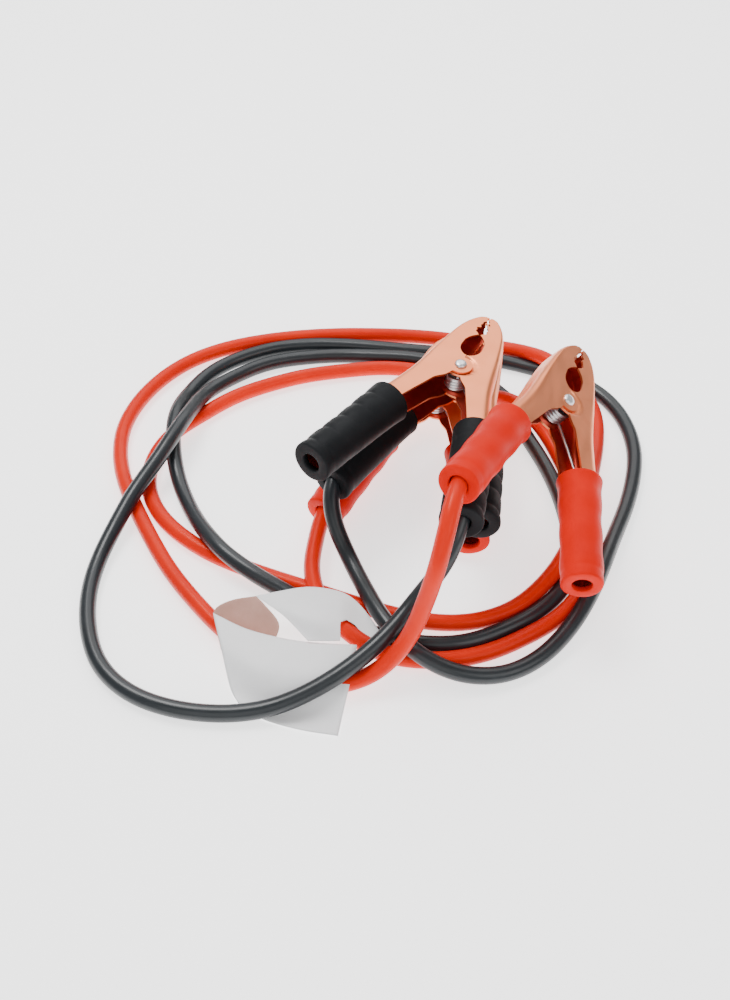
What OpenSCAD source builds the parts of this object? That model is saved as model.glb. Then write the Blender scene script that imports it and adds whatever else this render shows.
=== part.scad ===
// Set of two jumper cables with four sprung clamps and a paper tag, stacked and looped in a pile.
// Millimetres, +Z up. The clamps lie along +Y with their jaws at the far end.

/* [Cables] */

// outer diameter of each cable's jacket
cable_d = 7.5; // [6.5:0.1:7.5]
// diameter of the bare conductor in the crimp
conductor_d = 5; // [3.5:0.1:5.5]

/* [Jaw halves] */

// thickness of the pressed sheet
sheet_t = 1.2; // [1:0.1:1.3]
// length of the big hole behind the teeth
big_hole_l = 19; // [17:0.5:21]
// width of the big hole, across both halves
big_hole_w = 11; // [8:0.5:12]
// length of the small hole near the tip
small_hole_l = 10; // [7:0.5:11]
// width of the small hole, across both halves
small_hole_w = 6; // [5:0.5:8]
// height of each saw tooth on the jaw edge
tooth_h = 1; // [0.6:0.1:1.2]
// length of each saw tooth along the jaw edge
tooth_l = 3.5; // [3:0.5:4.5]

/* [Pivot] */

// diameter of the rivet's shank
rivet_d = 4; // [3.4:0.1:4.4]
// diameter of the rivet's domed heads
rivet_head_d = 6.4; // [5.6:0.1:7]
// height of each domed head
rivet_head_h = 1.8; // [1.2:0.1:2]
// radius of the round ears over the pivot
ear_r = 6.2; // [5.8:0.1:6.4]
// radial play between the rivet and the ears
pivot_play = 0.05; // [0.02:0.01:0.1]

/* [Spring] */

// diameter of the spring's wire
wire_d = 1.8; // [1.4:0.1:2]
// diameter of the coil, to the middle of the wire
coil_d = 10.4; // [10.4:0.1:11]
// number of turns round the rivet
coil_turns = 4; // [3:1:4]

/* [Grips] */

// outer diameter of a grip at its closed end
grip_end_d = 20.6; // [19.6:0.1:20.8]
// outer diameter of a grip at its open mouth
grip_mouth_d = 22.6; // [22.2:0.1:22.8]
// depth of the shallow waves along a grip
grip_wave = 0.25; // [0:0.05:0.3]
// diameter of the hole in a grip's end
end_hole_d = 9.6; // [9:0.1:11]
// thickness of a grip's end wall
end_wall = 3; // [2:0.5:4]

/* [Crimp and tag] */

// length of the ferrule on each cable end
crimp_l = 9; // [6:0.5:10]
// wall thickness of the ferrule
crimp_t = 0.8; // [0.5:0.1:0.9]
// thickness of the paper tag
paper_t = 0.4; // [0.3:0.05:0.4]

/* [Hidden] */

$fn = 48;

copper = [0.86, 0.66, 0.55];
steel = [0.75, 0.75, 0.76];
red = [0.9, 0.28, 0.14];
black = [0.17, 0.18, 0.19];
paper = [0.9, 0.9, 0.91];

// The pile's centre is moved to the origin by this much.
home = [-44, -6, 0];

// Each clamp's tilt and place: the rivet is its own origin, the jaws point along its own +X.
red1_turn = [37.2, 2.5, 73.8];
red1_at = [96.9, 7, 59.8];
black1_turn = [5.3, 1.6, 65.6];
black1_at = [48.2, 31.4, 59.8];
black2_turn = [0, -1.1, 69];
black2_at = [53, 51.8, 37.3];
red2_turn = [0, -4, 74.9];
red2_at = [40.3, 61.1, 17.2];

// Each handle's axis leaves the pivot at this angle, this far to the side.
splay = 14.6;
side_off = 13.7;
handle_l = 101;
grip_l = 61;

// Half width across the flanges of a jaw half.
half_w = 8;

// Stations of a jaw half from the tip back to the grip's mouth:
// x, free edge y, flange's outer edge y, spine's outer y.
stations = [
    [43, -1.4, 2.2, 3],
    [42, -1.4, 4.4, 5.4],
    [40, -1.4, 6.2, 7.6],
    [36.8, -1.4, 8.4, 10],
    [32.2, -1.4, 10.4, 12.2],
    [29.5, -1.4, 11.2, 13.2],
    [28.5, 0.3, 11.4, 13.5],
    [24, 0.3, 12.4, 14.7],
    [15, 0.3, 13.9, 16.8],
    [6, 0.3, 15.2, 18.6],
    [0, 0.5, 15.9, 19.6],
    [-5, 1.8, 16.6, 20.6],
    [-8, 2.8, 17.1, 21.2],
    [-11, 4.4, 17.7, 21.9],
    [-15, 8.5, 18.6, 23],
    [-22, 11.5, 20.6, 25.2],
    [-30, 15, 23.2, 27.9],
    [-39, 18.8, 26.4, 30.9],
    [-43, 20, 27.6, 32]
];

// Route of each cable's centre line, from one clamp's crimp to the other's.
red_route = [
    [51, -55.7, 83.2], [41.3, -73.9, 87.3], [37, -91, 84.7], [32, -104.8, 68.4],
    [27, -107, 45], [20, -112, 24.5], [5, -120, 9], [-15, -124, 4],
    [-36, -116, 4], [-54, -104, 4], [-71, -88, 4], [-85, -71, 4],
    [-98, -53, 4], [-109, -33, 4], [-119, -13, 4], [-128, 7, 4],
    [-134, 29, 4], [-135, 51, 4], [-129, 73, 4], [-118, 93, 4],
    [-103, 109, 4], [-84, 120, 4], [-62, 127, 4], [-40, 131, 4],
    [-18, 133, 4], [5, 133, 4], [27, 132, 4], [49, 129, 4],
    [71, 123, 4], [91, 114, 8], [107, 99, 13], [122, 83, 9.5],
    [130, 63, 4.5], [128, 40, 4], [123, 19, 7], [117, -3, 11.5],
    [110, -24, 13.5], [103, -45, 12], [90, -63, 7.5], [74, -77, 4],
    [53, -86, 4], [31, -86, 4], [10, -80, 4], [-11, -72, 4],
    [-32, -63, 4], [-53, -55, 4], [-73, -45, 4], [-92, -32, 4],
    [-107, -16, 4], [-116, 4, 4], [-116, 26, 4], [-107, 47, 4],
    [-91, 63, 4], [-74, 78, 4], [-55, 88, 4], [-34, 96, 4],
    [-12, 100, 4], [11, 103, 4], [33, 100, 4], [54, 90, 4.5],
    [69.5, 76.5, 6.3], [86.6, 61.6, 13.1], [100, 45, 7], [107, 24, 4],
    [112, 2, 4], [115, -20, 4], [116, -43, 4], [109, -64, 4],
    [96, -82, 4.5], [77, -95, 4.5], [57, -105, 4], [36, -109, 4],
    [13, -107, 4], [-6, -98, 8], [-21, -82, 13], [-27, -60, 12],
    [-25, -38, 10.5], [-21.6, -19.6, 10.6], [-11.2, -1.4, 12]
];
black_route = [
    [47.9, -49.8, 58.8], [44.3, -70.4, 58.9], [38, -82.1, 44.7], [25, -89, 27.5],
    [11, -105, 20], [-5, -119, 15.5], [-24, -130, 10], [-45, -137, 5],
    [-67, -139, 4], [-89, -136, 4], [-110, -127, 4], [-126, -111, 4],
    [-134, -90, 4], [-137, -68, 4], [-135, -46, 4.5], [-128, -25, 8.5],
    [-120, -5, 13], [-110, 15, 16], [-101, 36, 19.5], [-96, 57, 14],
    [-90, 78, 7.5], [-76, 95, 4], [-57, 107, 4], [-35, 112, 4],
    [-13, 114, 4], [10, 112, 5], [32, 109, 6], [53, 102, 5],
    [71, 89, 3.8], [83, 70, 3.8], [88, 48, 3.8], [96, 27, 4],
    [102, 5, 4], [105, -17, 4], [106, -40, 4], [101, -61, 4],
    [87, -78, 4], [68, -90, 4], [47, -99, 4], [25, -99, 4],
    [3, -93, 4], [-16, -82, 4], [-35, -71, 6], [-55, -60, 10],
    [-72, -47, 12.5], [-84, -28, 9.5], [-93, -8, 4.5], [-101, 13, 5.5],
    [-105, 34, 11], [-105, 56, 12.5], [-101, 78, 5.5], [-91, 98, 4],
    [-73, 112, 4], [-53, 121, 4], [-31, 124, 4], [-8, 123, 4],
    [14, 120, 4], [36, 117, 4], [59, 114, 4], [80, 109, 4],
    [101, 101, 4], [122, 92, 4], [138, 76, 4], [146, 56, 4],
    [148, 33, 4], [144, 11, 4], [137, -10, 4.5], [128, -31, 6.5],
    [120, -51, 10], [111, -72, 11], [99, -91, 7], [84, -107, 4.5],
    [64, -118, 4.5], [42, -119, 7.5], [23, -110, 12.5], [9, -92, 13.5],
    [0, -71, 11.5], [-8, -51.8, 12.8], [-16.4, -37.6, 25.8], [-16.9, -22.4, 35.5],
    [-4.7, -5.3, 35.9]
];

// Edge of a jaw half in plan: f = 0 is the flange's outer edge, 1 the spine's outer face, d a step inward.
function edge(f, d) = [for (st = stations) [st[0], st[2] + f * (st[3] - st[2]) - d]];
function back(v) = [for (i = [len(v) - 1:-1:0]) v[i]];
module band(f0, d0, f1) {
    polygon(concat(edge(f0, d0), back(edge(f1, 0))));
}

// The bent corner and the spine of a half on the +Y side, in layers across its width.
module spine() {
    for (s = [0, 1]) mirror([0, 0, s]) {
        translate([0, 0, half_w - 2 * sheet_t]) linear_extrude(sheet_t) band(0.5, 1.3, 0.8);
        translate([0, 0, half_w - 3 * sheet_t]) linear_extrude(sheet_t) band(0.8, sheet_t, 0.95);
    }
    translate([0, 0, -half_w + 3 * sheet_t]) linear_extrude(2 * half_w - 6 * sheet_t) band(1, sheet_t, 1);
}

// The arm inside the grip: a narrower channel that holds the crimp.
module arm() {
    t = sheet_t;
    w = half_w - 1;
    on_handle(1) translate([42, 0, 0]) rotate([90, 0, 90]) linear_extrude(48)
        polygon([[4.8, w], [-3, w], [-5.2, w - 1], [-6.2, w - 3], [-6.2, 3 - w], [-5.2, 1 - w], [-3, -w], [4.8, -w],
            [4.8, t - w], [-3 + t / 3, t - w], [-5.2 + t * 0.7, 1 + t * 0.7 - w], [t - 6.2, 3 + t / 3 - w], [t - 6.2, w - 3 - t / 3], [-5.2 + t * 0.7, w - 1 - t * 0.7], [-3 + t / 3, w - t], [4.8, w - t]]);
}

// A flange in plan, on the +Y side.
module flange() {
    polygon(concat([for (st = stations) [st[0], st[1]]], back(edge(0.5, 0))));
}

// A long hole with blunt ends, across the line between the halves.
module jaw_hole(x0, l, w) {
    polygon([[x0, -w * 0.14], [x0 + l * 0.18, -w * 0.4], [x0 + l * 0.4, -w / 2], [x0 + l * 0.68, -w / 2], [x0 + l * 0.9, -w * 0.36], [x0 + l, -w * 0.12],
        [x0 + l, w * 0.12], [x0 + l * 0.9, w * 0.36], [x0 + l * 0.68, w / 2], [x0 + l * 0.4, w / 2], [x0 + l * 0.18, w * 0.4], [x0, w * 0.14]]);
}

// Everything beyond the saw-tooth line, which is cleared from one half. s is the half's side.
module tooth_cut(s) {
    n = floor(19 / tooth_l);
    zig = [for (i = [0:n]) for (k = [0, 1]) [29 + i * tooth_l + k * tooth_l * 0.7, (k == 0 ? -1 : 1) * tooth_h / 2 + s * 0.2]];
    polygon(concat([[28.6, -s * 4]], [[28.6, s * 0.3]], zig, [[29 + (n + 1) * tooth_l, s * 0.2], [29 + (n + 1) * tooth_l, -s * 4]]));
}

module holes(s) {
    jaw_hole(8.5, big_hole_l - 1, big_hole_w);
    jaw_hole(29.5, small_hole_l, small_hole_w);
    tooth_cut(s);
    circle(r = rivet_d / 2 + pivot_play);
}

// Half on the +Y side, with its ears outside.
module left_half() {
    spine();
    arm();
    for (z = [half_w - sheet_t, -half_w]) translate([0, 0, z]) linear_extrude(sheet_t) difference() {
        union() {
            flange();
            circle(r = ear_r);
        }
        holes(1);
    }
}

// Half on the -Y side, with its ears stepped inward under the other half's.
module right_half() {
    top = half_w - sheet_t - 0.2;
    mirror([0, 1, 0]) {
        spine();
        arm();
    }
    for (z = [half_w - sheet_t, -half_w]) translate([0, 0, z]) linear_extrude(sheet_t) difference() {
        mirror([0, 1, 0]) flange();
        circle(r = ear_r + 0.4);
        holes(-1);
    }
    // the ear
    for (z = [top - sheet_t, -top]) translate([0, 0, z]) linear_extrude(sheet_t) difference() {
        circle(r = 8.4);
        circle(r = rivet_d / 2 + pivot_play);
    }
    // the step between the flange and the ear
    for (z = [top, -half_w + sheet_t]) translate([0, 0, z]) linear_extrude(half_w - sheet_t - top) intersection() {
        difference() {
            circle(r = 8.4);
            circle(r = ear_r + 0.4);
        }
        polygon([[-6, -1.9], [0, -0.5], [8, -0.5], [8, -10], [-12, -10], [-12, -3.7]]);
    }
}

module rivet() {
    z0 = half_w + 0.05;
    r = rivet_head_d / 2;
    big = (r * r + rivet_head_h * rivet_head_h) / (2 * rivet_head_h);
    cylinder(r = rivet_d / 2, h = 2 * z0, center = true);
    for (m = [0, 1]) mirror([0, 0, m]) intersection() {
        translate([0, 0, z0 + rivet_head_h - big]) sphere(r = big);
        translate([0, 0, z0]) cylinder(r = r + 1, h = rivet_head_h + 1);
    }
}

// Frame and rings of a round rod swept along a list of points.
function unit(v) = v / norm(v);
function tangent(p, i) = unit(p[min(i + 1, len(p) - 1)] - p[max(i - 1, 0)]);
function ring(p, i, r, n, up) =
    let (t = tangent(p, i), a = unit(cross(t, up)), b = cross(a, t),
        prev = i == 0 ? t : unit(p[i] - p[i - 1]),
        k = 1 / max(0.6, t * prev))
    [for (j = [0:n - 1]) p[i] + r * (a * cos(360 * j / n) + b * sin(360 * j / n))];
module rod(p, r, n, up = [0, 0, 1]) {
    m = len(p);
    pts = [for (i = [0:m - 1]) each ring(p, i, r, n, up)];
    sides = [for (i = [0:m - 2]) for (j = [0:n - 1]) let (a = i * n + j, b = i * n + (j + 1) % n)
        each [[a, b, b + n], [a, b + n, a + n]]];
    polyhedron(points = pts, faces = concat([[for (j = [n - 1:-1:0]) j]], sides, [[for (j = [0:n - 1]) (m - 1) * n + j]]));
}

// Torsion spring: a leg on each arm's spine, and the coil round the rivet.
module spring() {
    r = coil_d / 2;
    pitch = wire_d + 0.1;
    h = pitch * (coil_turns + 0.5);
    n = coil_turns * 14 + 7;
    coil = [for (i = [0:n]) let (a = -90 + 360 * (coil_turns + 0.5) * i / n) [r * cos(a) - 2.2, r * sin(a), -h / 2 + h * i / n]];
    rod(concat([[-26, -22.5, -h / 2], [-8, -9, -h / 2]], coil, [[-8, 9, h / 2], [-26, 22.5, h / 2]]), wire_d / 2, 8);
}

// Puts a handle's part on one arm's axis, its own +X out along the handle. s is the side.
module on_handle(s) {
    translate([sin(splay) * side_off, s * cos(splay) * side_off, 0]) rotate([0, 0, s * (180 - splay)]) children();
}

function grip_r(x) = let (u = (x - handle_l + grip_l) / grip_l)
    grip_mouth_d / 2 + (grip_end_d / 2 - grip_mouth_d / 2) * min(1, 0.25 + 0.75 * u) - 0.35 * sin(180 * u) + grip_wave * cos(360 * 4 * u) - (x > handle_l - 1.5 ? 0.8 : 0) + (u < 0.05 ? 0.3 : 0);
module grip(s) {
    x0 = handle_l - grip_l;
    outer = [for (i = [0:32]) let (x = x0 + grip_l * i / 32) [grip_r(x), x]];
    on_handle(s) rotate([0, 90, 0]) rotate_extrude() polygon(concat(
        [[10.45, x0]], outer, [[end_hole_d / 2, handle_l], [end_hole_d / 2, handle_l - end_wall], [8.6, handle_l - end_wall], [8.9, x0 + 30], [9.6, x0 + 15], [10.3, x0 + 5]]));
}

// Ferrule round a cable's jacket in the arm.
module crimp(s) {
    on_handle(s) translate([82, 0, 0]) rotate([0, 90, 0]) difference() {
        cylinder(r = cable_d / 2 + 0.1 + crimp_t, h = crimp_l, $fn = 48);
        translate([0, 0, -1]) cylinder(r = cable_d / 2 + 0.1, h = crimp_l + 2, $fn = 48);
    }
}

// Bare conductor ahead of the jacket's end.
module conductor(s) {
    on_handle(s) translate([66, 0, 0]) rotate([0, 90, 0]) cylinder(r = conductor_d / 2, h = 13.9, $fn = 24);
}

// Thin sheet between two rows of points at a time.
module sheet(rows) {
    n = len(rows);
    m = len(rows[0]);
    k = n * m;
    low = [for (r = rows) each r];
    high = [for (p = low) p + [0, 0, paper_t]];
    cells = [for (i = [0:n - 2]) for (j = [0:m - 2]) let (a = i * m + j)
        each [[a, a + 1, a + m + 1], [a, a + m + 1, a + m], [k + a, k + a + m + 1, k + a + 1], [k + a, k + a + m, k + a + m + 1]]];
    rim = concat([for (j = [0:m - 2]) [j, j + 1]], [for (i = [0:n - 2]) [i * m + m - 1, (i + 1) * m + m - 1]],
        [for (j = [m - 1:-1:1]) [(n - 1) * m + j, (n - 1) * m + j - 1]], [for (i = [n - 1:-1:1]) [i * m, (i - 1) * m]]);
    edge = [for (e = rim) each [[e[0], k + e[1], e[1]], [e[0], k + e[0], k + e[1]]]];
    polyhedron(points = concat(low, high), faces = concat(cells, edge));
}

// The tag, draped over the strands from its low front edge to its back edge.
module tag_sheets() {
    sheet([
        [[-14, -147, 0], [-29, -146, 0], [-43, -140, 0], [-55, -130, 0]],
        [[-12, -135, 1.8], [-28, -135, 2.2], [-44, -129, 2.4], [-58, -118, 2.6]],
        [[-13, -124, 8.5], [-28, -120, 8.8], [-44, -111.5, 8.8], [-62, -97, 8.8]],
        [[-9, -112, 9.5], [-25, -103, 10], [-41, -93, 10], [-60, -80, 9.5]],
        [[0, -95, 14.5], [-16, -92, 17], [-33, -86, 17], [-54, -76, 15]],
        [[-8, -78, 16], [-22, -75, 17], [-36, -74, 16], [-52, -72, 15.5]]
    ]);
}

module clamp_at(turn, at) {
    translate(home) translate(at) rotate(turn) children();
}

module red_cable() { color(red) translate(home) rod(red_route, cable_d / 2, 10); }
module black_cable() { color(black) translate(home) rod(black_route, cable_d / 2, 10); }
module red_conductor_ends() {
    color(copper) clamp_at(red1_turn, red1_at) conductor(1);
    color(copper) clamp_at(red2_turn, red2_at) conductor(1);
}
module black_conductor_ends() {
    color(copper) clamp_at(black1_turn, black1_at) conductor(-1);
    color(copper) clamp_at(black2_turn, black2_at) conductor(1);
}
module paper_tag() { color(paper) translate(home) tag_sheets(); }

module red1_cable_half() { color(copper) clamp_at(red1_turn, red1_at) left_half(); }
module red1_free_half() { color(copper) clamp_at(red1_turn, red1_at) right_half(); }
module red1_rivet() { color(steel) clamp_at(red1_turn, red1_at) rivet(); }
module red1_spring() { color(steel) clamp_at(red1_turn, red1_at) spring(); }
module red1_cable_grip() { color(red) clamp_at(red1_turn, red1_at) grip(1); }
module red1_free_grip() { color(red) clamp_at(red1_turn, red1_at) grip(-1); }
module red1_crimp() { color(copper) clamp_at(red1_turn, red1_at) crimp(1); }

module black1_cable_half() { color(copper) clamp_at(black1_turn, black1_at) right_half(); }
module black1_free_half() { color(copper) clamp_at(black1_turn, black1_at) left_half(); }
module black1_rivet() { color(steel) clamp_at(black1_turn, black1_at) rivet(); }
module black1_spring() { color(steel) clamp_at(black1_turn, black1_at) spring(); }
module black1_cable_grip() { color(black) clamp_at(black1_turn, black1_at) grip(-1); }
module black1_free_grip() { color(black) clamp_at(black1_turn, black1_at) grip(1); }
module black1_crimp() { color(copper) clamp_at(black1_turn, black1_at) crimp(-1); }

module black2_cable_half() { color(copper) clamp_at(black2_turn, black2_at) left_half(); }
module black2_free_half() { color(copper) clamp_at(black2_turn, black2_at) right_half(); }
module black2_rivet() { color(steel) clamp_at(black2_turn, black2_at) rivet(); }
module black2_spring() { color(steel) clamp_at(black2_turn, black2_at) spring(); }
module black2_cable_grip() { color(black) clamp_at(black2_turn, black2_at) grip(1); }
module black2_free_grip() { color(black) clamp_at(black2_turn, black2_at) grip(-1); }
module black2_crimp() { color(copper) clamp_at(black2_turn, black2_at) crimp(1); }

module red2_cable_half() { color(copper) clamp_at(red2_turn, red2_at) left_half(); }
module red2_free_half() { color(copper) clamp_at(red2_turn, red2_at) right_half(); }
module red2_rivet() { color(steel) clamp_at(red2_turn, red2_at) rivet(); }
module red2_spring() { color(steel) clamp_at(red2_turn, red2_at) spring(); }
module red2_cable_grip() { color(red) clamp_at(red2_turn, red2_at) grip(1); }
module red2_free_grip() { color(red) clamp_at(red2_turn, red2_at) grip(-1); }
module red2_crimp() { color(copper) clamp_at(red2_turn, red2_at) crimp(1); }

red_cable();
black_cable();
red_conductor_ends();
black_conductor_ends();
paper_tag();
red1_cable_half();
red1_free_half();
red1_rivet();
red1_spring();
red1_cable_grip();
red1_free_grip();
red1_crimp();
black1_cable_half();
black1_free_half();
black1_rivet();
black1_spring();
black1_cable_grip();
black1_free_grip();
black1_crimp();
black2_cable_half();
black2_free_half();
black2_rivet();
black2_spring();
black2_cable_grip();
black2_free_grip();
black2_crimp();
red2_cable_half();
red2_free_half();
red2_rivet();
red2_spring();
red2_cable_grip();
red2_free_grip();
red2_crimp();
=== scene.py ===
import math
import bpy
import numpy as np
from mathutils import Matrix, Vector, Euler


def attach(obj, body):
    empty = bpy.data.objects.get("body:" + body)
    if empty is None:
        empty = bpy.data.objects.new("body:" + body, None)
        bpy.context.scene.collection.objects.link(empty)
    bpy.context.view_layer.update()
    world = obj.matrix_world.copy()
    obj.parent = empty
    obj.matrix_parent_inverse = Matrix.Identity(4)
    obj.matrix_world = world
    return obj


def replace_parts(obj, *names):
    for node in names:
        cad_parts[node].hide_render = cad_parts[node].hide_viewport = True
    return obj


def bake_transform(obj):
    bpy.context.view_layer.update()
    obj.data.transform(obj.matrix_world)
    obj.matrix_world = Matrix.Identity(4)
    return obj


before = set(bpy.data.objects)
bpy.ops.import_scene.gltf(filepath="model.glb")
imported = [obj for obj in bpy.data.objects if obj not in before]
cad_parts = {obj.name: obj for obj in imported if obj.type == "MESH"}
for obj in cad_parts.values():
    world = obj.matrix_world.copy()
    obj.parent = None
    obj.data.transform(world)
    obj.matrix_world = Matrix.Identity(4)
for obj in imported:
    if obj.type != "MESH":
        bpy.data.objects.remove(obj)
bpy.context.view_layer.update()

MM = 0.001
HOME = Vector((-44, -6, 0))

# ---------------------------------------------------------------- camera
EYE = Vector((0, -472.5, 497.9))
TILT = math.radians(46.5)
cam_data = bpy.data.cameras.new("camera")
cam = bpy.data.objects.new("camera", cam_data)
bpy.context.collection.objects.link(cam)
cam.location = (EYE + HOME) * MM
cam.rotation_euler = (math.radians(90) - TILT, 0, 0)
cam_data.sensor_width = 36
cam_data.lens = 36 * 1.288
cam_data.clip_start = 0.01
cam_data.clip_end = 10
bpy.context.scene.camera = cam


def seen_at(px, py, z):
    """The point, in mm before HOME, that the camera sees at a pixel when it is z above the floor."""
    d = Vector((0, math.cos(TILT), -math.sin(TILT))) + Vector((1, 0, 0)) * (px - 365) / 1288 \
        + Vector((0, math.sin(TILT), math.cos(TILT))) * (500 - py) / 1288
    return EYE + d * ((z - EYE.z) / d.z)


# ---------------------------------------------------------------- materials
class Mat:
    def __init__(self, name):
        self.m = bpy.data.materials.new(name)
        self.m.use_nodes = True
        self.nt = self.m.node_tree
        self.b = self.nt.nodes["Principled BSDF"]
        self.co = self.nt.nodes.new("ShaderNodeTexCoord").outputs["Object"]
        self.height = None

    def set(self, **k):
        for a, v in k.items():
            self.b.inputs[a.replace("_", " ")].default_value = v
        return self

    def node(self, kind, **k):
        n = self.nt.nodes.new(kind)
        for a, v in k.items():
            if hasattr(n, a):
                setattr(n, a, v)
            else:
                n.inputs[a.replace("_", " ")].default_value = v
        return n

    def link(self, a, b):
        self.nt.links.new(a, b)

    def mapped(self, scale):
        n = self.node("ShaderNodeMapping")
        n.inputs["Scale"].default_value = scale
        self.link(self.co, n.inputs["Vector"])
        return n.outputs["Vector"]

    def noise(self, scale, detail=4, stretch=(1, 1, 1), rough=0.5, warp=0.0):
        n = self.node("ShaderNodeTexNoise")
        n.inputs["Scale"].default_value = scale
        n.inputs["Detail"].default_value = detail
        n.inputs["Roughness"].default_value = rough
        n.inputs["Distortion"].default_value = warp
        self.link(self.mapped(stretch), n.inputs["Vector"])
        return n.outputs["Fac"]

    def ramp(self, fac, stops):
        n = self.node("ShaderNodeValToRGB")
        e = n.color_ramp.elements
        while len(e) < len(stops):
            e.new(0.5)
        for el, (p, c) in zip(e, stops):
            el.position = p
            el.color = (c, c, c, 1) if isinstance(c, (int, float)) else (*c, 1)
        self.link(fac, n.inputs["Fac"])
        return n.outputs["Color"]

    def color(self, fac, stops):
        self.link(self.ramp(fac, stops), self.b.inputs["Base Color"])
        return self

    def rough(self, fac, lo, hi):
        n = self.node("ShaderNodeMapRange")
        n.inputs["To Min"].default_value = lo
        n.inputs["To Max"].default_value = hi
        n.inputs["From Min"].default_value = 0.3
        n.inputs["From Max"].default_value = 0.7
        self.link(fac, n.inputs["Value"])
        self.link(n.outputs["Result"], self.b.inputs["Roughness"])
        return self

    def bump(self, fac, strength, distance):
        n = self.node("ShaderNodeBump")
        n.inputs["Strength"].default_value = strength
        n.inputs["Distance"].default_value = distance
        self.link(fac, n.inputs["Height"])
        if self.height is not None:
            self.link(self.height, n.inputs["Normal"])
        self.height = n.outputs["Normal"]
        self.link(self.height, self.b.inputs["Normal"])
        return self


def jacket(name, a, b, rough, coat, tint=(1, 1, 1)):
    m = Mat(name)
    f = m.noise(35, 5, rough=0.6)
    m.color(f, [(0.32, a), (0.68, b)])
    m.rough(m.noise(90, 3), rough - 0.05, rough + 0.07)
    m.bump(m.noise(260, 4, rough=0.6), 0.10, 0.0004)
    m.bump(m.noise(45, 3, warp=0.4), 0.12, 0.0008)
    m.set(Coat_Weight=coat, Coat_Roughness=0.12, Specular_IOR_Level=0.4, Specular_Tint=(*tint, 1))
    return m.m


def vinyl(name, a, b, rough, tint=(1, 1, 1)):
    m = Mat(name)
    f = m.noise(55, 6, rough=0.62)
    m.color(f, [(0.3, a), (0.7, b)])
    m.rough(m.noise(120, 4), rough - 0.06, rough + 0.1)
    m.bump(m.noise(420, 5, rough=0.7), 0.16, 0.0003)
    m.bump(m.noise(80, 3, warp=0.6), 0.22, 0.0008)
    m.set(Specular_IOR_Level=0.15, Specular_Tint=(*tint, 1))
    return m.m


def plate(name, dark, light, spot, lo, hi, metal=1.0):
    m = Mat(name)
    f = m.noise(38, 7, rough=0.62, warp=0.4)
    m.color(f, [(0.22, dark), (0.42, light), (0.66, light), (0.86, spot)])
    m.rough(m.noise(60, 5, stretch=(1, 1, 6)), lo, hi)
    m.bump(m.noise(520, 3, stretch=(1, 8, 1)), 0.05, 0.0002)
    m.bump(m.noise(70, 3), 0.06, 0.0006)
    m.set(Metallic=metal)
    return m.m


RED_JACKET = jacket("red_jacket", (0.64, 0.011, 0.001), (0.74, 0.017, 0.001), 0.34, 0.06, (1.0, 0.24, 0.14))
BLACK_JACKET = jacket("black_jacket", (0.009, 0.012, 0.014), (0.015, 0.019, 0.023), 0.33, 0.12)
RED_VINYL = vinyl("red_vinyl", (0.61, 0.006, 0.0005), (0.70, 0.009, 0.001), 0.46, (1.0, 0.12, 0.05))
BLACK_VINYL = vinyl("black_vinyl", (0.006, 0.007, 0.008), (0.010, 0.011, 0.012), 0.54, (0.75, 0.75, 0.78))
COPPER = plate("copper_plate", (0.82, 0.235, 0.098), (0.90, 0.29, 0.130), (0.95, 0.40, 0.23), 0.31, 0.46)
# a darker copy of the copper plate for the sheets' inner faces: painted shade inside the jaws and the arm channels
COPPER_PAINTED_SHADE = plate("copper_painted_shade", (0.40, 0.040, 0.026), (0.60, 0.080, 0.050), (0.75, 0.16, 0.10), 0.34, 0.5)
STEEL = plate("bright_steel", (0.60, 0.60, 0.60), (0.72, 0.72, 0.73), (0.80, 0.80, 0.80), 0.30, 0.42)
STRAND = plate("copper_strand", (0.55, 0.22, 0.10), (0.80, 0.38, 0.20), (0.9, 0.5, 0.3), 0.28, 0.42)


def paper(name, a, b):
    m = Mat(name)
    m.color(m.noise(60, 8, rough=0.7), [(0.3, a), (0.7, b)])
    m.rough(m.noise(90, 3), 0.5, 0.66)
    m.bump(m.noise(700, 6, rough=0.75), 0.22, 0.0002)
    m.bump(m.noise(24, 3, warp=0.5), 0.3, 0.0012)
    m.set(Specular_IOR_Level=0.35)
    return m.m


PAPER = paper("tag_paper", (0.90, 0.90, 0.91), (0.96, 0.96, 0.965))
# a darker, reddish copy of the tag paper for the back sheet inside the loop: painted shade
PAPER_PAINTED_SHADE = paper("tag_painted_shade", (0.50, 0.27, 0.21), (0.58, 0.34, 0.27))


# ---------------------------------------------------------------- mesh helpers
def make(name, verts, faces, mats, face_mat=None, angle=35):
    me = bpy.data.meshes.new(name)
    me.from_pydata([tuple(float(c) for c in v) for v in verts], [], faces)
    for m in mats:
        me.materials.append(m)
    if face_mat is not None:
        me.polygons.foreach_set("material_index", np.array(face_mat, np.int32))
    me.validate()
    me.shade_smooth()
    me.set_sharp_from_angle(angle=math.radians(angle))
    ob = bpy.data.objects.new(name, me)
    bpy.context.collection.objects.link(ob)
    return ob


def grid_faces(n, m, off=0, flip=False, wrap=False):
    out = []
    for i in range(n - 1):
        for j in range(m if wrap else m - 1):
            a, b = off + i * m + j, off + i * m + (j + 1) % m
            f = (a, b, b + m, a + m)
            out.append(f[::-1] if flip else f)
    return out


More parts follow.
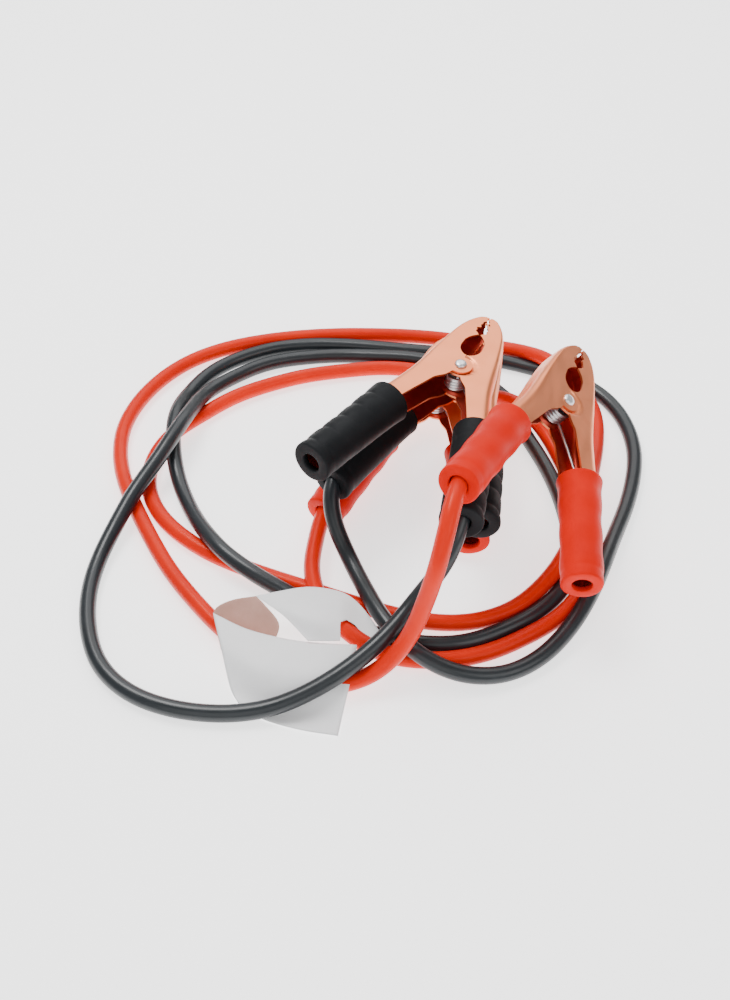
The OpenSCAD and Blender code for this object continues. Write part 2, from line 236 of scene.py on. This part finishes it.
class Build:
    """Collects grids of points, in one clamp's own millimetres, into one mesh."""

    def __init__(self):
        self.v, self.f, self.k = [], [], []

    def grid(self, P, mat=0, flip=False, wrap=False):
        P = np.asarray(P, float)
        n, m = P.shape[:2]
        f = grid_faces(n, m, len(self.v), flip, wrap)
        self.v += list(P.reshape(-1, 3))
        self.f += f
        self.k += [mat] * len(f)

    def shell(self, A, B, mats=(0, 1), flip=False):
        """Outer grid A, inner grid B and the rim between them."""
        A, B = np.asarray(A, float), np.asarray(B, float)
        n, m = A.shape[:2]
        o = len(self.v)
        self.v += list(A.reshape(-1, 3)) + list(B.reshape(-1, 3))
        fa = grid_faces(n, m, o, flip)
        fb = grid_faces(n, m, o + n * m, not flip)
        rim = [i for i in range(m)] + [i * m + m - 1 for i in range(1, n)] \
            + [(n - 1) * m + j for j in range(m - 2, -1, -1)] + [i * m for i in range(n - 2, 0, -1)]
        fr = []
        for a, b in zip(rim, rim[1:] + rim[:1]):
            q = (o + a, o + n * m + a, o + n * m + b, o + b)
            fr.append(q[::-1] if flip else q)
        self.f += fa + fb + fr
        self.k += [mats[0]] * len(fa) + [mats[1]] * len(fb) + [mats[0]] * len(fr)

    def lathe(self, prof, turn, n=48, mat=0, close=True):
        """prof: (along, radius) points round the axis of turn(along, y, z)."""
        P = []
        for a, r in prof:
            P.append([turn(a, r * math.cos(t), r * math.sin(t)) for t in np.linspace(0, 2 * math.pi, n, endpoint=False)])
        self.grid(P, mat, wrap=True)

    def done(self, name, M, mats, angle=35):
        V = [M @ Vector(v) for v in self.v]
        ob = make(name, V, self.f, mats, self.k, angle)
        return ob


def tube(path, r, n=16, up=(0, 0, 1), caps=True):
    """Points of a round rod swept along path."""
    P = np.asarray(path, float)
    T = np.gradient(P, axis=0)
    T /= np.linalg.norm(T, axis=1)[:, None]
    a = np.cross(T[0], up)
    rows = []
    a /= np.linalg.norm(a)
    for i in range(len(P)):
        a = a - T[i] * (a @ T[i])
        a /= np.linalg.norm(a)
        b = np.cross(T[i], a)
        rr = r if np.isscalar(r) else r[i]
        rows.append([P[i] + rr * (a * math.cos(t) + b * math.sin(t)) for t in np.linspace(0, 2 * math.pi, n, endpoint=False)])
    if caps:
        rows = [[P[0]] * n, [P[0] + 0.7 * (np.array(q) - P[0]) for q in rows[0]]] + rows + \
               [[P[-1] + 0.7 * (np.array(q) - P[-1]) for q in rows[-1]], [P[-1]] * n]
    return rows


def catmull(P, step):
    """A smooth line through P, with points about step apart."""
    P = np.asarray(P, float)
    Q = np.vstack([2 * P[0] - P[1], P, 2 * P[-1] - P[-2]])
    out = []
    for i in range(1, len(Q) - 2):
        n = max(2, int(round(np.linalg.norm(Q[i + 1] - Q[i]) / step)))
        for t in np.arange(n) / n:
            out.append(0.5 * (2 * Q[i] + (Q[i + 1] - Q[i - 1]) * t + (2 * Q[i - 1] - 5 * Q[i] + 4 * Q[i + 1] - Q[i + 2]) * t * t
                              + (3 * Q[i] - Q[i - 1] - 3 * Q[i + 1] + Q[i + 2]) * t ** 3))
    out.append(P[-1])
    return np.array(out)


# ---------------------------------------------------------------- the clamps' places
CLAMPS = {
    "red1": dict(turn=(37.2, 2.5, 73.8), at=(96.9, 7, 59.8), cable=1, red=True),
    "black1": dict(turn=(5.3, 1.6, 65.6), at=(48.2, 31.4, 59.8), cable=-1, red=False),
    "black2": dict(turn=(0, -1.1, 69), at=(53, 51.8, 37.3), cable=1, red=False),
    "red2": dict(turn=(0, -4, 74.9), at=(40.3, 61.1, 17.2), cable=1, red=True),
}
for c in CLAMPS.values():
    R = Euler([math.radians(a) for a in c["turn"]], "XYZ").to_matrix().to_4x4()
    c["M"] = Matrix.Scale(MM, 4) @ Matrix.Translation(HOME + Vector(c["at"])) @ R

# ---------------------------------------------------------------- jaw halves
STATIONS = np.array([
    [43, -1.4, 2.2, 3], [42, -1.4, 4.4, 5.4], [40, -1.4, 6.2, 7.6], [36.8, -1.4, 8.4, 10],
    [32.2, -1.4, 10.4, 12.2], [29.5, -1.4, 11.2, 13.2], [28.5, 0.3, 11.4, 13.5], [24, 0.3, 12.4, 14.7],
    [15, 0.3, 13.9, 16.8], [6, 0.3, 15.2, 18.6], [0, 0.5, 15.9, 19.6], [-5, 1.8, 16.6, 20.6],
    [-8, 2.8, 17.1, 21.2], [-11, 4.4, 17.7, 21.9], [-15, 8.5, 18.6, 23], [-22, 11.5, 20.6, 25.2],
    [-30, 15, 23.2, 27.9], [-39, 18.8, 26.4, 30.9], [-43, 20, 27.6, 32]])[::-1]
HALF_W, SHEET = 8.0, 1.2


def smooth_line(x, xs, ys, width):
    k = np.linspace(-width, width, 9)
    w = np.exp(-(k / width * 1.6) ** 2)
    return sum(wi * np.interp(x + ki, xs, ys) for wi, ki in zip(w, k)) / w.sum()


def free_edge(x, side, ear, low=False):
    """The flange's free edge in plan: arm, ear, the big hole, the stepped hole and the teeth; plainer on the lower flange."""
    y = np.where(x < -3, smooth_line(x, STATIONS[:, 0], STATIONS[:, 1], 1.6), 0.25)
    y = np.where((x >= -6.5) & (x < 0), np.minimum(y, 2.0), y)
    big = np.interp(x, [8.4, 8.6, 10.2, 12.2, 15.0, 20.2, 23.2, 25.4, 26.6, 27.0], [0, 1.2, 3.4, 4.8, 5.5, 5.2, 3.9, 2.2, 0.9, 0.7])
    small = np.interp(x, [26.9, 27.6, 28.4, 29.4, 32.6, 33.6, 34.2, 37.2, 38.2, 39.6, 40.4], [0, 0.7, 1.3, 2.7, 2.9, 1.7, 1.5, 1.9, 1.1, 0.6, 0.1])
    big = np.where(x > 26.9, 0, big)
    pitch = 3.0
    ph = ((x - 27.6) % pitch) / pitch
    saw = np.where(ph < 0.62, ph / 0.62, (1 - ph) / 0.38) - 0.5
    saw = np.where((x > 30.5), saw * 0.9 * side, 0)
    if low:
        small, saw = small * 0.35, 0
    y = np.where(x > 6, 0.3 + big + small + saw, y)
    a = np.clip(ear ** 2 - x ** 2, 0, None)
    return np.where(np.abs(x) < ear, np.minimum(y, -np.sqrt(a)), y)


def half(side, M, name, free=False):
    """side 1 is the half on +Y, with its ears outside; -1 the other, with its ears stepped in under them."""
    ear = 6.2 if side == 1 else 8.2
    x = np.concatenate([np.arange(-43, -9, 1.0), ear * np.sin(np.linspace(-math.pi / 2, math.pi / 2, 33)),
                        np.arange(-9, 8.4, 0.7), [8.4, 8.6, 8.8], np.arange(9, 27, 0.5), np.arange(26.8, 42.9, 0.275), [43]])
    x = np.unique(np.round(x, 3))
    yf = free_edge(x, side, ear)
    fo = smooth_line(x, STATIONS[:, 0], STATIONS[:, 2], 2.2)
    so = smooth_line(x, STATIONS[:, 0], STATIONS[:, 3], 2.2)
    tip = x > 40
    fo = np.where(tip, np.interp(x, STATIONS[:, 0], STATIONS[:, 2]), fo)
    so = np.where(tip, np.interp(x, STATIONS[:, 0], STATIONS[:, 3]), so)
    yf = np.minimum(yf, fo - 0.6)
    yl = np.minimum(free_edge(x, side, ear, True), fo - 0.6)
    k = np.linspace(0, 1, 15) ** 1.0
    A, B = [], []
    for i in range(len(x)):
        sides = []
        for y0 in (yf[i], yl[i]):
            top, inn = [], []
            for y in y0 + (fo[i] - y0) * k:
                z = HALF_W
                if side == -1:
                    r = math.hypot(x[i], y)
                    s = min(1, max(0, (8.4 - r) / 1.7))
                    z -= 1.42 * s * s * (3 - 2 * s)
                top.append((y, z))
                inn.append((y, z - SHEET))
            for t in np.radians([15, 30, 45, 60, 75, 90]):
                d = so[i] - fo[i]
                top.append((fo[i] + d * math.sin(t), 4.4 + 3.6 * math.cos(t)))
                inn.append((fo[i] + (d - SHEET) * math.sin(t), 4.4 + (3.6 - SHEET) * math.cos(t)))
            sides.append((top, inn))
        g = float(np.interp(x[i], [-38, -33, 8, 16], [0, 1, 1, 0]))
        for z in (3.3, 2.6, 1.9, 1.2):
            s = min(1, max(0, (3.3 - z) / 1.4))
            q = 0.75 * g * s * s * (3 - 2 * s)
            for top, inn in sides:
                top.append((so[i] - q, z))
                inn.append((so[i] - q - SHEET, z))
        (top, inn), (low, lin) = sides
        row = top + [(so[i] - 0.75 * g, 0)] + [(y, -z) for y, z in low[::-1]]
        rin = inn + [(so[i] - 0.75 * g - SHEET, 0)] + [(y, -z) for y, z in lin[::-1]]
        A.append([(x[i], side * y, z) for y, z in row])
        B.append([(x[i], side * y, z) for y, z in rin])
    b = Build()
    # the inner grid B takes material 1, the copper with painted shade
    b.shell(A, B, (0, 1), flip=side == 1)
    # the arm's narrower channel inside the grip
    w = HALF_W - 1
    prof = [(4.8, w), (1, w), (-3, w), (-4.3, w - 0.35), (-5.2, w - 1), (-5.9, w - 1.9), (-6.2, w - 3), (-6.2, 0)]
    prin = [(4.8, w - SHEET), (1, w - SHEET), (-2.6, w - SHEET), (-3.5, w - 1.5), (-4.2, w - 2), (-4.8, w - 2.6), (-5.0, w - 3.3), (-5.0, 0)]
    prof += [(y, -z) for y, z in prof[-2::-1]]
    prin += [(y, -z) for y, z in prin[-2::-1]]
    A, B = [], []
    for s in np.linspace(44, 96.8 if free else 90, 15):
        A.append([on_handle(s, side * y, z, side) for y, z in prof])
        B.append([on_handle(s, side * y, z, side) for y, z in prin])
    b.shell(A, B, (0, 1), flip=side == -1)
    # material 1 is the darker copper: painted shade on the inner faces
    return b.done(name, M, [COPPER, COPPER_PAINTED_SHADE], 40)


SPLAY, SIDE_OFF = math.radians(14.6), 13.7


def on_handle(s, y, z, side):
    """A point s along one handle's axis, in the clamp's own frame."""
    a = side * (math.pi - SPLAY)
    return (math.sin(SPLAY) * SIDE_OFF + s * math.cos(a) - y * math.sin(a),
            side * math.cos(SPLAY) * SIDE_OFF + s * math.sin(a) + y * math.cos(a), z)


# ---------------------------------------------------------------- grips
def grip(side, M, name, red, seed):
    L, S0 = 61.0, 40.0
    ns, nt = 112, 72
    th = np.linspace(0, 2 * math.pi, nt, endpoint=False)
    rows = []

    def r_out(s, t):
        u = (s - S0) / L
        r = 11.3 - 1.0 * min(1, 0.25 + 0.75 * u) - 0.35 * math.sin(math.pi * u)
        if red:
            r += 0.22 * math.cos(2 * math.pi * 3.5 * u + 0.6) - 0.10
            r += 0.12 * math.cos(4 * t + seed) * math.sin(math.pi * u)
        else:
            bump = abs(math.sin(math.pi * 5.5 * u + 0.3))
            side_k = 0.55 + 0.45 * math.cos(t - (math.pi if side == 1 else 0))
            r += (0.25 - 0.75 * (1 - bump) ** 2 * side_k)
            r += 0.10 * math.cos(3 * t + seed) * math.sin(math.pi * u)
        r += 0.28 * math.exp(-((u - 0.0) / 0.05) ** 2)
        r += 0.10 * math.exp(-((u - 0.965) / 0.03) ** 2)
        r -= 0.20 * math.exp(-((u - 0.90) / 0.022) ** 2)
        return r + 0.05 * math.sin(3 * t + 9 * u + seed) + 0.04 * math.sin(5 * t - 14 * u + seed)

    b = Build()
    # lip at the mouth, outside, the rounded end, its hole and the hollow inside
    prof = [(S0 + 6, None, 10.25), (S0 + 0.6, None, 10.42), (S0 + 0.1, None, 10.55), (S0, None, 10.8), (S0 + 0.1, -0.45, 0), (S0 + 0.35, -0.15, 0)]
    prof += [(s, 0.0, 0) for s in np.linspace(S0 + 0.7, S0 + L - 1.1, ns)]
    prof += [(S0 + L - 0.7, -0.08, 0), (S0 + L - 0.35, -0.3, 0), (S0 + L - 0.1, -0.65, 0), (S0 + L, -1.1, 0)]
    prof += [(S0 + L, None, 7.4), (S0 + L, None, 5.5), (S0 + L - 0.12, None, 5.05), (S0 + L - 0.5, None, 4.82), (S0 + L - 2.6, None, 4.8), (S0 + L - 3, None, 5.1),
             (S0 + L - 3.05, None, 8.3), (S0 + L - 4, None, 8.6), (S0 + 45, None, 8.8), (S0 + 30, None, 8.95), (S0 + 15, None, 9.65), (S0 + 6, None, 10.25)]
    for s, d, rr in prof:
        row = []
        for t in th:
            r = rr if d is None else r_out(s, t) + d
            row.append(on_handle(s, r * math.cos(t), r * math.sin(t), side))
        rows.append(row)
    b.grid(rows, 0, wrap=True, flip=True)
    ob = b.done(name, M, [RED_VINYL if red else BLACK_VINYL], 50)
    return ob


# ---------------------------------------------------------------- rivet and spring
def rivet(M, name):
    b = Build()
    z0 = 8.05
    prof = []
    R, h = 3.2, 1.75
    prof += [(z0 + h - 0.12, 0.0), (z0 + h - 0.10, 0.45), (z0 + h, 0.8)]
    for a in np.linspace(0.34, 1.0, 9):
        prof.append((z0 + 0.25 + (h - 0.25) * math.sqrt(max(0, 1 - (a ** 2.6))), R * a))
    prof += [(z0 + 0.05, R), (z0, R - 0.15), (z0, 2.0)]
    prof = prof + [(-z, r) for z, r in prof[::-1]]
    b.lathe(prof, lambda a, y, z: (y, z, a), 40)
    ob = b.done(name, M, [STEEL], 40)
    return ob


COIL_R, WIRE, TURNS = 5.2, 1.8, 4


def spring(M, name):
    pitch = WIRE + 0.1
    h = pitch * (TURNS + 0.5)
    n = TURNS * 28 + 14
    coil = [(COIL_R * math.cos(a) - 2.2, COIL_R * math.sin(a), -h / 2 + h * i / n)
            for i, a in ((i, math.radians(-90 + 360 * (TURNS + 0.5) * i / n)) for i in range(n + 1))]
    lead = catmull([(-26, -22.5, -h / 2), (-17, -15.9, -h / 2), (-8, -9, -h / 2), (-4.4, -6.2, -h / 2), coil[0]], 1.2)[:-1]
    tail = catmull([coil[-1], (-4.4, 6.2, h / 2), (-8, 9, h / 2), (-17, 15.9, h / 2), (-26, 22.5, h / 2)], 1.2)[1:]
    b = Build()
    b.grid(tube(list(lead) + coil + list(tail), WIRE / 2, 14), 0, wrap=True)
    return b.done(name, M, [STEEL], 60), h


for key, c in CLAMPS.items():
    M, cab = c["M"], c["cable"]
    free = key + "_free_arm"
    for side in (1, -1):
        part = "_cable" if side == cab else "_free"
        body = "pile" if side == cab else free
        o = half(side, M, key + part + "_jaw", side != cab)
        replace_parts(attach(o, body), key + part + "_half")
        o = grip(side, M, key + part + "_sleeve", c["red"], len(key) * 1.7 + side)
        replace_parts(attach(o, body), key + part + "_grip")
    o = rivet(M, key + "_pin")
    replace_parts(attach(o, "pile"), key + "_rivet")
    o, h = spring(M, key + "_coil")
    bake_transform(o)
    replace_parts(o, key + "_spring")

# ---------------------------------------------------------------- cables
RED_ROUTE = [
    (51, -55.7, 83.2), (41.3, -73.9, 87.3), (37, -91, 84.7), (32, -104.8, 68.4), (27, -107, 45),
    (20, -112, 24.5), (5, -120, 9), (-15, -124, 4), (-36, -116, 4), (-54, -104, 4),
    (-71, -88, 4), (-85, -71, 4), (-98, -53, 4), (-109, -33, 4), (-119, -13, 4),
    (-128, 7, 4), (-134, 29, 4), (-135, 51, 4), (-129, 73, 4), (-118, 93, 4),
    (-103, 109, 4), (-84, 120, 4), (-62, 127, 4), (-40, 131, 4), (-18, 133, 4),
    (5, 133, 4), (27, 132, 4), (49, 129, 4), (71, 123, 4), (91, 114, 8),
    (107, 99, 13), (122, 83, 9.5), (130, 63, 4.5), (128, 40, 4), (123, 19, 7),
    (117, -3, 11.5), (110, -24, 13.5), (103, -45, 12), (90, -63, 7.5), (74, -77, 4),
    (53, -86, 4), (31, -86, 4), (10, -80, 4), (-11, -72, 4), (-32, -63, 4),
    (-53, -55, 4), (-73, -45, 4), (-92, -32, 4), (-107, -16, 4), (-116, 4, 4),
    (-116, 26, 4), (-107, 47, 4), (-91, 63, 4), (-74, 78, 4), (-55, 88, 4),
    (-34, 96, 4), (-12, 100, 4), (11, 103, 4), (33, 100, 4), (54, 90, 4.5),
    (69.5, 76.5, 6.3), (86.6, 61.6, 13.1), (100, 45, 7), (107, 24, 4), (112, 2, 4),
    (115, -20, 4), (116, -43, 4), (109, -64, 4), (96, -82, 4.5), (77, -95, 4.5),
    (57, -105, 4), (36, -109, 4), (13, -107, 4), (-6, -98, 8), (-21, -82, 13),
    (-27, -60, 12), (-25, -38, 10.5), (-21.6, -19.6, 10.6), (-11.2, -1.4, 12),
]
BLACK_ROUTE = [
    (47.9, -49.8, 58.8), (44.3, -70.4, 58.9), (38, -82.1, 44.7), (25, -89, 27.5), (11, -105, 20),
    (-5, -119, 15.5), (-24, -130, 10), (-45, -137, 5), (-67, -139, 4), (-89, -136, 4),
    (-110, -127, 4), (-126, -111, 4), (-134, -90, 4), (-137, -68, 4), (-135, -46, 4.5),
    (-128, -25, 8.5), (-120, -5, 13), (-110, 15, 16), (-101, 36, 19.5), (-96, 57, 14),
    (-90, 78, 7.5), (-76, 95, 4), (-57, 107, 4), (-35, 112, 4), (-13, 114, 4),
    (10, 112, 5), (32, 109, 6), (53, 102, 5), (71, 89, 3.8), (83, 70, 3.8),
    (88, 48, 3.8), (96, 27, 4), (102, 5, 4), (105, -17, 4), (106, -40, 4),
    (101, -61, 4), (87, -78, 4), (68, -90, 4), (47, -99, 4), (25, -99, 4),
    (3, -93, 4), (-16, -82, 4), (-35, -71, 6), (-55, -60, 10), (-72, -47, 12.5),
    (-84, -28, 9.5), (-93, -8, 4.5), (-101, 13, 5.5), (-105, 34, 11), (-105, 56, 12.5),
    (-101, 78, 5.5), (-91, 98, 4), (-73, 112, 4), (-53, 121, 4), (-31, 124, 4),
    (-8, 123, 4), (14, 120, 4), (36, 117, 4), (59, 114, 4), (80, 109, 4),
    (101, 101, 4), (122, 92, 4), (138, 76, 4), (146, 56, 4), (148, 33, 4),
    (144, 11, 4), (137, -10, 4.5), (128, -31, 6.5), (120, -51, 10), (111, -72, 11),
    (99, -91, 7), (84, -107, 4.5), (64, -118, 4.5), (42, -119, 7.5), (23, -110, 12.5),
    (9, -92, 13.5), (0, -71, 11.5), (-8, -51.8, 12.8), (-16.4, -37.6, 25.8), (-16.9, -22.4, 35.5),
    (-4.7, -5.3, 35.9),
]


CABLE_R = 4.2
smooth = {"red": catmull(RED_ROUTE, 5.0), "black": catmull(BLACK_ROUTE, 5.0)}


def settle(rounds):
    """Takes the small overlaps out of the crossings and side-by-side strands, and keeps each line near its route."""
    names = list(smooth)
    P = np.vstack([smooth[n] for n in names])
    cut = len(smooth[names[0]])
    P0 = P.copy()
    idx = np.arange(len(P))
    which = (idx >= cut).astype(int)
    near = (np.abs(idx[:, None] - idx[None]) < 6) & (which[:, None] == which[None])
    ends = np.zeros(len(P), bool)
    for a in (0, cut):
        ends[a:a + 4] = True
    for a in (cut, len(P)):
        ends[a - 4:a] = True
    # held where the lower red clamp's free jaw opens over the red lead
    ends[:cut] |= np.linalg.norm(P[:cut] - np.array([69.5, 76.5, 6.3]), axis=1) < 14
    for _ in range(rounds):
        d = P[:, None] - P[None]
        r = np.linalg.norm(d, axis=2) + 1e-9
        gap = np.where(near, 0, np.clip(2 * CABLE_R + 0.02 - r, 0, None))
        push = (d / r[..., None] * gap[..., None] * 0.35).sum(1)
        bend = np.zeros_like(P)
        bend[1:-1] = (P[:-2] + P[2:]) / 2 - P[1:-1]
        bend[[0, cut - 1, cut, len(P) - 1]] = 0
        P = P + np.where(ends[:, None], 0, push + bend * 0.25 + (P0 - P) * 0.06)
        P[:, 2] = np.where(ends, P[:, 2], np.maximum(P[:, 2], CABLE_R + 0.02))
    return {names[0]: P[:cut], names[1]: P[cut:]}


smooth = settle(60)


def cable(name, P, mat):
    cu = bpy.data.curves.new(name, "CURVE")
    cu.dimensions = "3D"
    cu.bevel_depth = CABLE_R * MM
    cu.bevel_resolution = 8
    cu.use_fill_caps = True
    sp = cu.splines.new("POLY")
    sp.points.add(len(P) - 1)
    for q, p in zip(sp.points, P):
        q.co = (*[(a + b) * MM for a, b in zip(p, HOME)], 1)
    sp.use_smooth = True
    cu.materials.append(mat)
    ob = bpy.data.objects.new(name, cu)
    bpy.context.collection.objects.link(ob)
    return ob


for name, mat, node in (("red", RED_JACKET, "red_cable"), ("black", BLACK_JACKET, "black_cable")):
    P = catmull(smooth[name], 2.0)
    o = cable(name + "_lead", P, mat)
    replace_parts(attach(o, "pile"), node)
    long = float(np.linalg.norm(np.diff(P, axis=0), axis=1).sum()) * MM
    print(name, "lead", round(long, 3), "m")

# ---------------------------------------------------------------- the tag
def tag_rows(rows, n):
    """A smooth grid through rows of (pixel x, pixel y, height)."""
    R = [[seen_at(*p) for p in r] for r in rows]
    R = [np.array([tuple(p) for p in r]) for r in R]

    def resample(P, n):
        P = catmull(P, 0.4)
        d = np.concatenate([[0], np.cumsum(np.linalg.norm(np.diff(P, axis=0), axis=1))])
        return np.array([[np.interp(t, d, P[:, k]) for k in range(3)] for t in np.linspace(0, d[-1], n)])

    cols = np.array([resample(r, n) for r in R])
    return np.array([resample(cols[:, j], n) for j in range(n)]).transpose(1, 0, 2)


FRONT = [
    [(238, 703, 0.4), (262, 719, 0.4), (300, 730, 0.4), (338, 736, 0.4)],
    [(230, 687, 1.0), (262, 701, 0.8), (300, 711, 1.0), (342, 718, 1.2)],
    [(221, 648, 9.0), (256, 667, 9.0), (300, 675, 9.0), (350, 683, 8.8)],
    [(213, 613, 11.5), (250, 630, 10.8), (300, 641, 10.4), (357, 645, 10.2)],
]
BACK = [
    [(213, 613, 11.5), (217, 607, 12.4), (226, 602, 13.2), (238, 598.5, 14), (256, 596, 15.5)],
    [(216, 628, 7.5), (224, 617, 8.6), (234, 613, 9.6), (246, 610, 10.8), (264, 604, 14.5)],
    [(219, 641, 4), (232, 632, 5), (246, 629, 6), (262, 628, 7.5), (279, 624, 11.5)],
    [(221, 650, 2.5), (236, 644, 2.6), (250, 644, 3), (264, 646, 4), (273, 645, 7)],
]
UPPER = [
    [(256, 596, 15.5), (285, 590, 16.8), (306, 587, 17.2), (324, 588, 17.2), (340, 591.5, 16.5), (351, 597, 15.2), (362, 607, 12.6), (372, 620, 10.2), (381, 633, 8.9)],
    [(266, 603, 15.4), (288, 603, 17.1), (308, 604, 17.4), (325, 605, 17.4), (340, 606, 16.4), (349, 608, 14.6), (358, 615, 12.0), (367, 627, 9.8), (376, 639, 8.8)],
    [(285, 617, 14.6), (300, 618, 16.6), (314, 620, 17), (328, 621, 16.6), (340, 622, 15.6), (347, 622, 14.2), (355, 627, 11.8), (363, 636, 9.8), (371, 646, 8.9)],
    [(308, 641, 11.5), (316, 641, 11.5), (324, 641, 11.5), (333, 641, 11.5), (342, 641, 11.5), (350, 644, 10.4), (357, 650, 9.4), (364, 656, 8.8), (370, 662, 8.6)],
]


def notch(px):
    return np.interp(px, [340.6, 347, 355, 363, 371, 381], [622, 620, 625, 634, 644, 658])


def cut_sheet(b, rows, n, m):
    """The upper sheet, with everything below the notch's edge left out."""
    G = np.array([[np.interp(np.linspace(0, 1, m), np.linspace(0, 1, len(catmull(np.array(r, float), 0.4))), catmull(np.array(r, float), 0.4)[:, k])
                   for k in range(3)] for r in rows]).transpose(0, 2, 1)
    cols = []
    for j in range(m):
        c = catmull(G[:, j], 0.4)
        t = np.linspace(0, 1, len(c))
        cols.append([[np.interp(q, t, c[:, k]) for k in range(3)] for q in np.linspace(0, 1, n)])
    G = np.array(cols).transpose(1, 0, 2)
    gone = (G[..., 0] > 340.6) & (G[..., 1] > notch(G[..., 0]))
    keep = ~gone
    for j in range(m):
        for i in range(1, n):
            if gone[i, j] and not gone[i - 1, j]:
                u, v = G[i - 1, j], G[i, j].copy()
                f = np.clip((notch(u[0]) - u[1]) / max(1e-6, (notch(u[0]) - u[1]) + (v[1] - notch(v[0]))), 0, 1)
                G[i, j] = u + (v - u) * f
                keep[i, j] = True
                break
    P = [tuple(seen_at(*G[i, j])) for i in range(n) for j in range(m)]
    o = len(b.v)
    b.v += [np.array(p) for p in P]
    for i in range(n - 1):
        for j in range(m - 1):
            if keep[i, j] and keep[i, j + 1] and keep[i + 1, j] and keep[i + 1, j + 1]:
                b.f.append((o + i * m + j, o + (i + 1) * m + j, o + (i + 1) * m + j + 1, o + i * m + j + 1))
                b.k.append(0)


b = Build()
# the BACK rows take material 1, the paper with painted shade
for rows, k in ((FRONT, 0), (BACK, 1)):
    P = tag_rows(rows, 30)
    b.grid(P, k)
cut_sheet(b, UPPER, 48, 110)
tag = b.done("tag_band", Matrix.Scale(MM, 4) @ Matrix.Translation(HOME), [PAPER, PAPER_PAINTED_SHADE], 60)
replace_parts(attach(tag, "pile"), "paper_tag")
thick = tag.modifiers.new("thickness", "SOLIDIFY")
thick.thickness = 0.00022
thick.offset = 0

# ---------------------------------------------------------------- CAD nodes that stay
for n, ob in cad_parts.items():
    if ob.hide_render:
        continue
    m = STRAND if "conductor" in n else COPPER
    ob.data.materials.clear()
    ob.data.materials.append(m)

# ---------------------------------------------------------------- floor and light
bpy.ops.mesh.primitive_plane_add(size=6, location=(0, 0, -0.0002))
floor = bpy.context.object
floor.name = "floor"
fm = Mat("floor")
fm.color(fm.noise(3, 2), [(0.3, (0.90, 0.90, 0.90)), (0.7, (0.92, 0.92, 0.92))])
fm.rough(fm.noise(5, 2), 0.6, 0.7)
fm.set(Specular_IOR_Level=0.1, Emission_Color=(1, 1, 1, 1), Emission_Strength=1.7)
floor.data.materials.append(fm.m)


def area_light(name, at, aim, size, power, size_y=None):
    d = bpy.data.lights.new(name, "AREA")
    d.energy = power
    d.shape = "RECTANGLE"
    d.size = size
    d.size_y = size_y or size
    o = bpy.data.objects.new(name, d)
    bpy.context.collection.objects.link(o)
    o.location = at
    o.rotation_euler = (Vector(aim) - Vector(at)).to_track_quat("-Z", "Y").to_euler()


area_light("key", (-0.35, 0.25, 0.95), (0, 0, 0), 0.45, 8)
area_light("fill", (0.6, -0.7, 0.8), (0, 0, 0), 0.7, 3.5)
area_light("front", (-0.3, -0.9, 0.6), (0, 0, 0), 0.8, 2.5)
area_light("back", (0.1, 1.15, 1.2), (0, 0, 0), 1.5, 16)
world = bpy.data.worlds.new("studio")
bpy.context.scene.world = world
world.use_nodes = True
bg = world.node_tree.nodes["Background"]
bg.inputs["Color"].default_value = (1, 1, 1, 1)
bg.inputs["Strength"].default_value = 0.50
